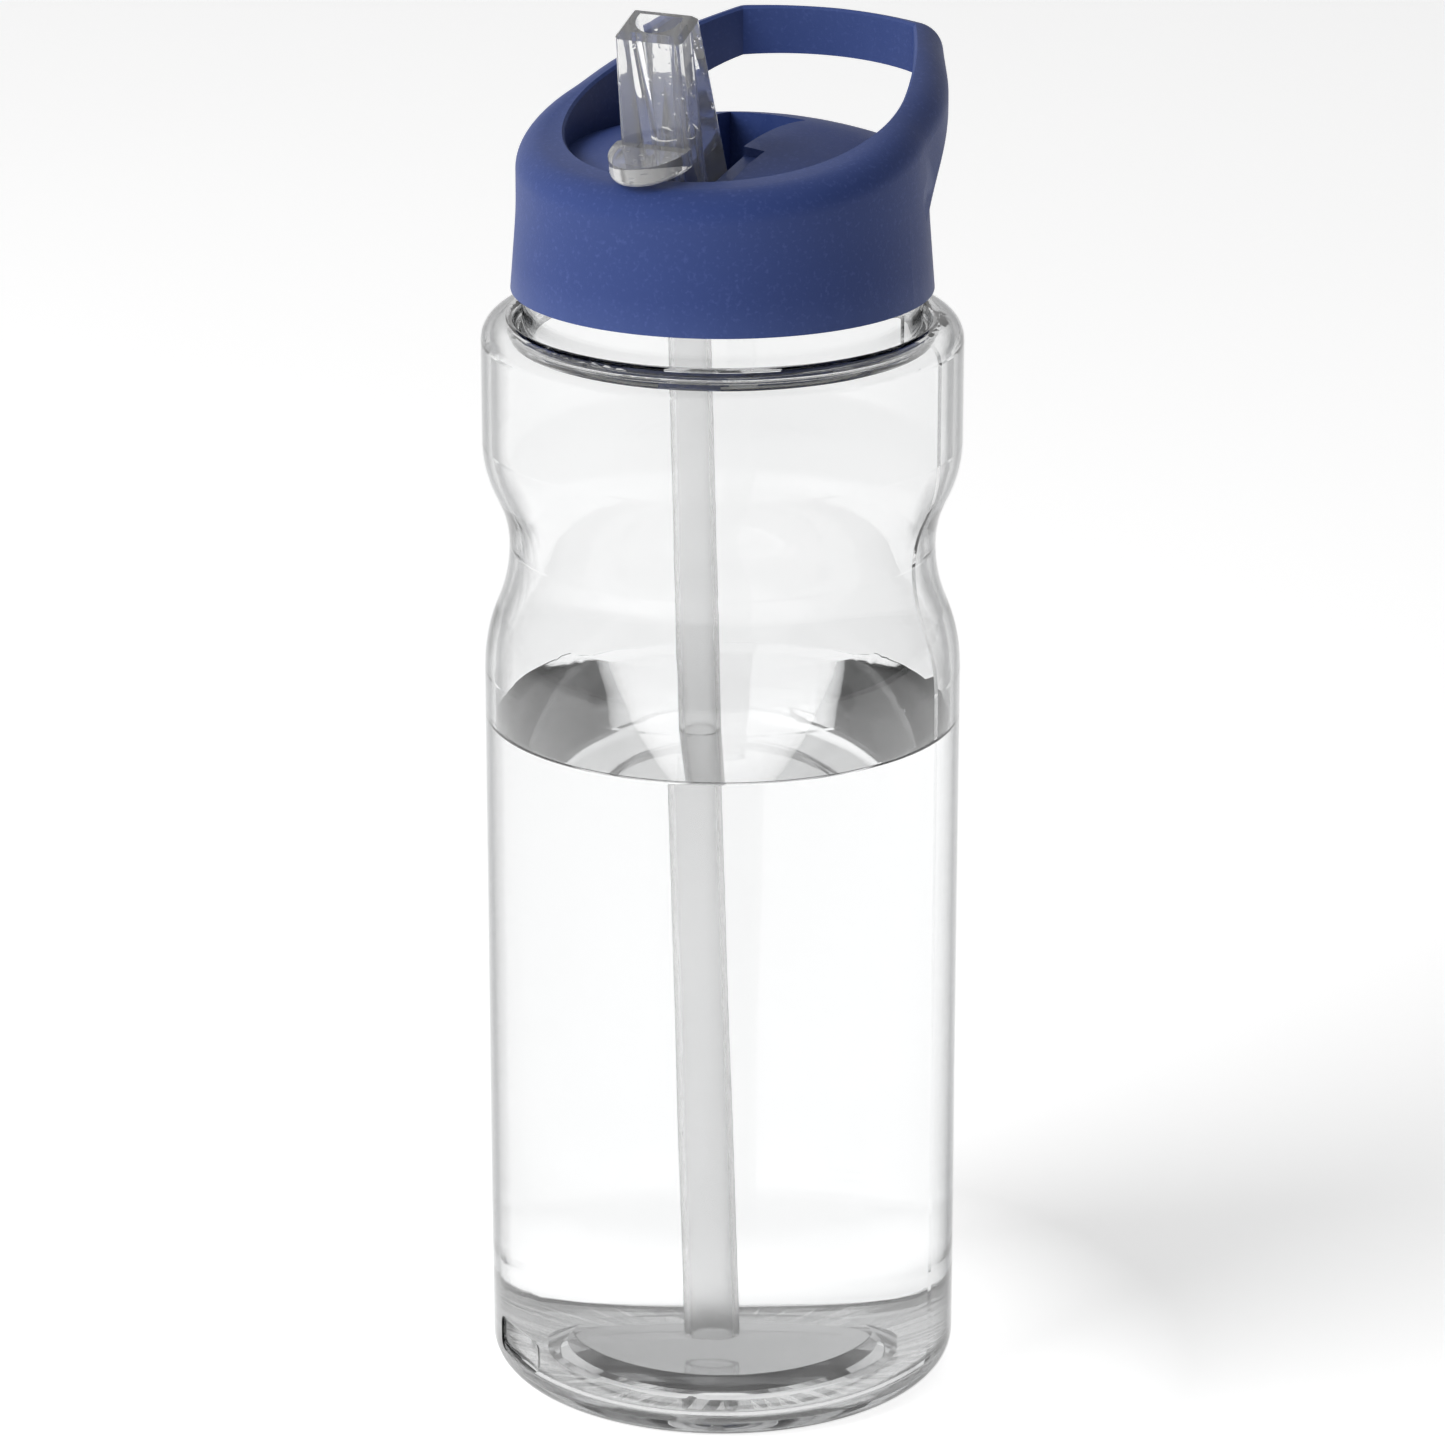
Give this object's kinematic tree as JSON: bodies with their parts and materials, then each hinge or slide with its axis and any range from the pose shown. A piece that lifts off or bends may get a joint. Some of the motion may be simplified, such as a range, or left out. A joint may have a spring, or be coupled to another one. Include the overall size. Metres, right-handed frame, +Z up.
{
  "type": "water bottle",
  "caption": "Clear waisted squeeze bottle with a screw lid, flip-up drinking spout, straw and carry loop.",
  "frame": {"origin": "centre of the bottle's base, on the plane it stands on", "axes": "+Z up along the bottle's axis; -Y towards the drinker, where the spout's thumb tab points; +Y towards the carry handle"},
  "size_m": [0.0732, 0.08, 0.2201],
  "materials": {
    "bottle_body": "clear moulded plastic",
    "lid_shell": "matte with a fine moulded grain",
    "lid_gasket": "satin silicone",
    "spout": "clear polished plastic",
    "spout_seal": "satin silicone",
    "straw": "frosted translucent",
    "vent_valve": "satin silicone"
  },
  "bodies": {
    "bottle": {"bottle_body": "bottle_body"},
    "gasket": {"lid_gasket": "lid_gasket"},
    "lid": {"lid_shell": "lid_shell", "straw": "straw", "vent_valve": "vent_valve", "spout_seal": "spout_seal"},
    "spout": {"spout": "spout"}
  },
  "joints": [
    {"name": "lid_lift", "type": "slide", "parent": "bottle", "child": "gasket", "axis": [0, 0, 1], "range_m": [0, 0.19]},
    {"name": "lid_turn", "type": "hinge", "parent": "gasket", "child": "lid", "pos_m": [0, 0, 0.18], "axis": [0, 0, 1], "range_deg": [0, 540]},
    {"name": "spout_flip", "type": "hinge", "parent": "lid", "child": "spout", "pos_m": [0, -0.014, 0.192], "axis": [-1, 0, 0], "range_deg": [0, 109]}
  ]
}
